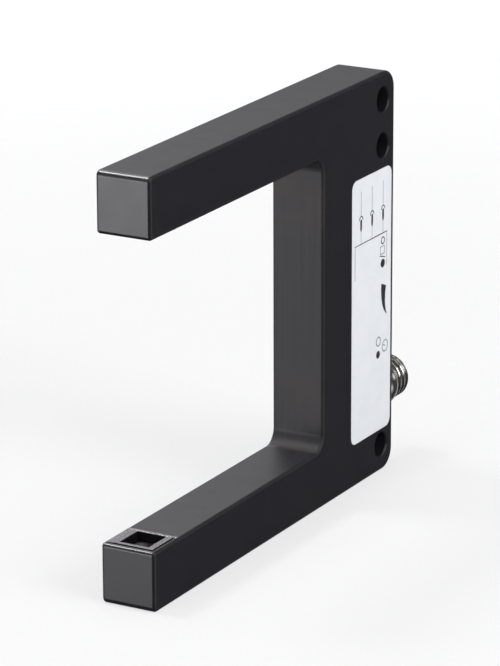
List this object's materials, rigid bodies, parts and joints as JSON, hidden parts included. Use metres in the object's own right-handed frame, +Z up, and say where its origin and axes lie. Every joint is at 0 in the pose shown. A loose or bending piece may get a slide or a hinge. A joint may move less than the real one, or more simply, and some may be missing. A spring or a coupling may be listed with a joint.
{
  "type": "fork sensor",
  "caption": "Flat C-shaped metal fork light barrier: light source and receiver face each other across the mouth, round metal plug at the back.",
  "frame": {"origin": "centre of the footprint of the whole part, plug included, on the underside of the lower arm", "axes": "+X from the arm tips to the plug, +Y from the label face to the cover face, +Z up from the lower arm to the upper arm"},
  "size_m": [0.088, 0.0096, 0.07],
  "materials": {
    "black_metal": "black anodised, satin",
    "label_white": "satin foil",
    "frame_plastic": "fine-grained, matte",
    "lens_clear": "polished, dark tint",
    "holder_plastic": "matte",
    "diode_clear": "polished",
    "diode_dark": "polished, dark tint",
    "tinned_metal": "tinned",
    "board_green": "solder mask",
    "contact_gold": "gold-plated",
    "chip_black": "moulded, matte",
    "capacitor_tan": "ceramic",
    "adjuster_blue": "moulded",
    "rotor_plastic": "moulded, satin",
    "indicator_yellow": "moulded",
    "pipe_clear": "polished, yellow tint",
    "nickel_plated": "nickel-plated, bright",
    "insert_plastic": "moulded, matte"
  },
  "bodies": {
    "sensor": {"housing": "black_metal", "side_cover": "black_metal", "rating_label": "label_white", "emitter_frame": "frame_plastic", "receiver_frame": "frame_plastic", "emitter_lens": "lens_clear", "receiver_lens": "lens_clear", "emitter_holder": "holder_plastic", "receiver_holder": "holder_plastic", "emitter_led": "diode_clear", "receiver_diode": "diode_dark", "emitter_leads": "tinned_metal", "receiver_leads": "tinned_metal", "emitter_board": "board_green", "receiver_board": "board_green", "main_board": "board_green", "board_links": "contact_gold", "amplifier_chip": "chip_black", "controller_chip": "chip_black", "voltage_regulator": "chip_black", "board_capacitors": "capacitor_tan", "board_resistors": "chip_black", "trimmer_body": "adjuster_blue", "switch_body": "adjuster_blue", "adjuster_terminals": "tinned_metal", "indicator_led": "indicator_yellow", "light_pipe": "pipe_clear", "plug_sleeve": "nickel_plated", "plug_insert": "insert_plastic", "contact_pins": "contact_gold", "plug_board": "board_green"},
    "trimmer_rotor": {"sensitivity_trimmer": "rotor_plastic"},
    "switch_rotor": {"light_dark_switch": "rotor_plastic"}
  },
  "joints": [
    {"name": "sensitivity_turn", "type": "hinge", "parent": "sensor", "child": "trimmer_rotor", "pos_m": [0.034, 0, 0.0305], "axis": [1, 0, 0], "range_deg": [-135, 135]},
    {"name": "light_dark_turn", "type": "hinge", "parent": "sensor", "child": "switch_rotor", "pos_m": [0.034, 0, 0.0222], "axis": [1, 0, 0], "range_deg": [0, 90]}
  ]
}
